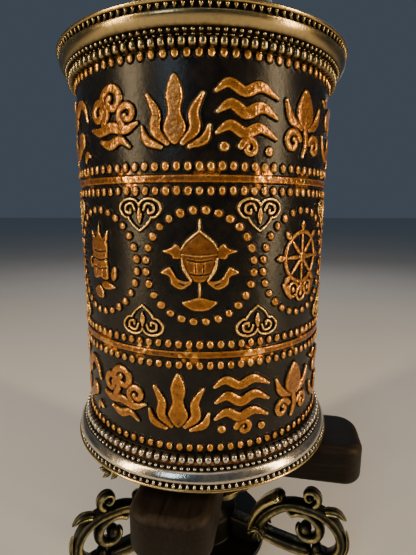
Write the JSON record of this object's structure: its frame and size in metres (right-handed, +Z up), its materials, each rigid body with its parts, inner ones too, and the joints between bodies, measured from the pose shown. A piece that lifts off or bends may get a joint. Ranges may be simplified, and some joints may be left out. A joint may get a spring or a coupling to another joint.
{
  "type": "table prayer wheel",
  "caption": "Table-top prayer wheel: an embossed copper drum with beaded rims turning on a spindle above a wooden cross handle and a scroll-legged brass stand.",
  "frame": {"origin": "the point on the table under the spindle's axis", "axes": "+Z up along the spindle; the back leg stands on the +Y side; the embossed drum's front medallion faces -Y"},
  "size_m": [0.1219, 0.1259, 0.2635],
  "materials": {
    "copper": "oxidised copper sheet, relief worn bright",
    "white_metal": "worn white metal, dark in the recesses",
    "rim_brass": "aged brass",
    "stand_brass": "dark antique brass, gold on the high spots",
    "bronze": "plain bronze",
    "steel": "plain steel",
    "dark_wood": "dark lacquered hardwood, worn at the edges",
    "paper": "rolled paper",
    "cloth": "woven cloth",
    "thread": "wound thread"
  },
  "bodies": {
    "stand": {"hub": "stand_brass", "base_plate": "stand_brass", "leg_left": "stand_brass", "leg_right": "stand_brass", "leg_back": "stand_brass", "leg_screws": "steel", "spindle": "steel", "spindle_washer": "steel", "spindle_nut": "steel"},
    "drum": {"drum_sleeve": "copper", "bottom_cap": "copper", "top_cap": "copper", "bottom_rim_band": "white_metal", "bottom_pearl_wire": "white_metal", "bottom_bead_wire": "white_metal", "bottom_tooth_wire": "white_metal", "crown_dome": "white_metal", "top_rim_band": "rim_brass", "top_pearl_wire": "rim_brass", "top_bead_wire": "rim_brass", "top_tooth_wire": "rim_brass", "top_dot_wire": "rim_brass", "top_lip_wire": "rim_brass", "bottom_lip_wire": "rim_brass", "crown_foot": "rim_brass", "finial": "rim_brass", "lower_bush": "bronze", "pivot_cup": "bronze", "core_tube": "bronze", "handle_spacer": "bronze", "handle_screws": "steel", "finial_nut": "steel", "pivot_nut": "steel", "long_handle_beam": "dark_wood", "short_handle_beam": "dark_wood", "mantra_roll": "paper", "roll_wrap": "cloth", "roll_ties": "thread"}
  },
  "joints": [
    {"name": "drum_spin", "type": "hinge", "parent": "stand", "child": "drum", "pos_m": [0, 0, 0.05], "axis": [0, 0, 1], "continuous": true}
  ]
}
